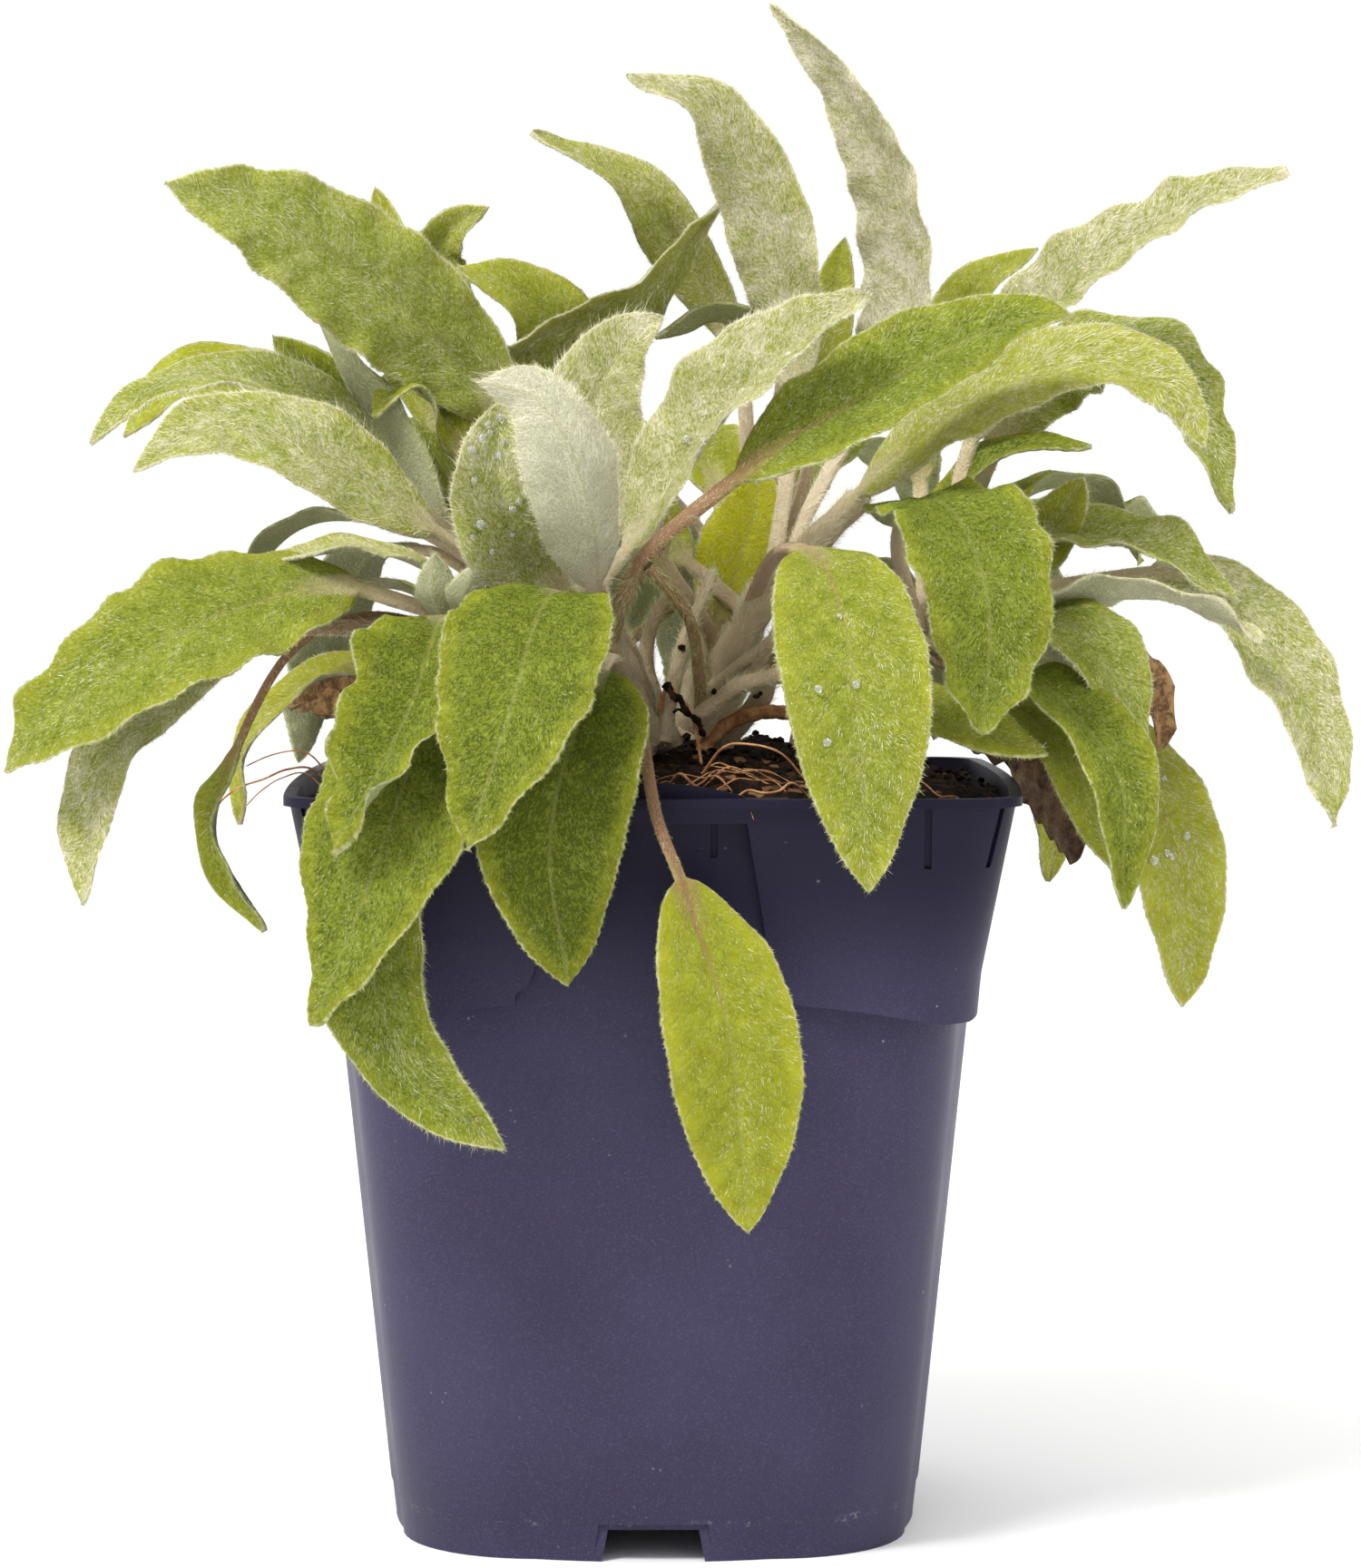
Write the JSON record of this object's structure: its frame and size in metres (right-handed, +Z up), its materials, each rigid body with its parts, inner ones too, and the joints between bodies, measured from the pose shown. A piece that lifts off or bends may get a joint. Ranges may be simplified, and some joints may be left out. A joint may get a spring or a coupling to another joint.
{
  "type": "lambs ear plant",
  "caption": "Lamb's ear plant with woolly grey-green oval leaves arching out of dark potting soil in a square, slate-blue plastic nursery pot.",
  "frame": {"origin": "on the ground, under the middle of the plant's overall width and depth", "axes": "+X to the right of the pot's front label side, +Y to the back, +Z up"},
  "size_m": [0.2505, 0.1966, 0.2906],
  "materials": {
    "pot_plastic": "satin slate-blue polypropylene, finely grained, with dust and light scuffs",
    "potting_soil": "matte, crumbly dark peat and bark compost with fine tan roots",
    "woolly_leaf": "soft matte leaf felt of white silky hairs over green",
    "withered_leaf": "dry matte brown leaf, curled and hairy",
    "root_bark": "matte orange-brown root bark"
  },
  "bodies": {
    "root": {"pot": "pot_plastic", "soil": "potting_soil", "shoot_front": "woolly_leaf", "shoot_left": "woolly_leaf", "shoot_back_left": "woolly_leaf", "shoot_centre": "woolly_leaf", "shoot_right": "woolly_leaf", "shoot_back": "woolly_leaf", "withered_leaf_left": "withered_leaf", "withered_leaf_right": "withered_leaf", "surface_root": "root_bark"}
  },
  "joints": []
}
